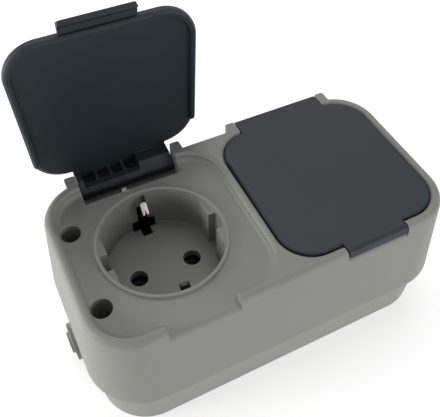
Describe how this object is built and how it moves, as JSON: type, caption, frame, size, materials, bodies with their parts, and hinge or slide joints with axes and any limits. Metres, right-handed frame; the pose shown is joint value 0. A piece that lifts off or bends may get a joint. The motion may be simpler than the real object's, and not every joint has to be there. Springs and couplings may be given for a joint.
{
  "type": "outdoor weatherproof socket",
  "caption": "Surface-mounted weatherproof double socket: grey box with round plug wells under hinged anthracite lids, a cable entry on its end, contacts and terminals inside.",
  "frame": {"origin": "centre of the flat back face, on the wall", "axes": "+Z out of the wall, +X along the two sockets away from the cable entry, +Y to the hinges"},
  "size_m": [0.1319, 0.0757, 0.1082],
  "materials": {
    "housing_plastic": "matt, fine grain",
    "lid_plastic": "satin, fine grain",
    "carrier_plastic": "matt",
    "steel": "bright zinc plated",
    "brass": "plain",
    "seal_rubber": "matt"
  },
  "bodies": {
    "housing": {"cover": "housing_plastic", "base_box": "housing_plastic", "contact_carrier_left": "carrier_plastic", "contact_carrier_right": "carrier_plastic", "cover_screws": "steel", "carrier_screws": "steel", "terminal_screws": "steel", "hinge_pin_left": "steel", "hinge_pin_right": "steel", "lid_spring_left": "steel", "lid_spring_right": "steel", "earth_bracket_left": "steel", "earth_bracket_right": "steel", "earth_link": "steel", "live_contact_left": "brass", "live_contact_right": "brass", "neutral_contact_left": "brass", "neutral_contact_right": "brass", "live_link": "brass", "neutral_link": "brass", "live_terminal": "brass", "neutral_terminal": "brass", "earth_terminal": "brass", "cover_seal": "seal_rubber", "cable_grommet": "seal_rubber"},
    "lid_left": {"lid_left": "lid_plastic"},
    "lid_right": {"lid_right": "lid_plastic"}
  },
  "joints": [
    {"name": "lid_left_hinge", "type": "hinge", "parent": "housing", "child": "lid_left", "pos_m": [-0.0295, 0.032, 0.0438], "axis": [-1, 0, 0], "range_deg": [-85, 0]},
    {"name": "lid_right_hinge", "type": "hinge", "parent": "housing", "child": "lid_right", "pos_m": [0.0295, 0.032, 0.0438], "axis": [-1, 0, 0], "range_deg": [0, 85]}
  ]
}
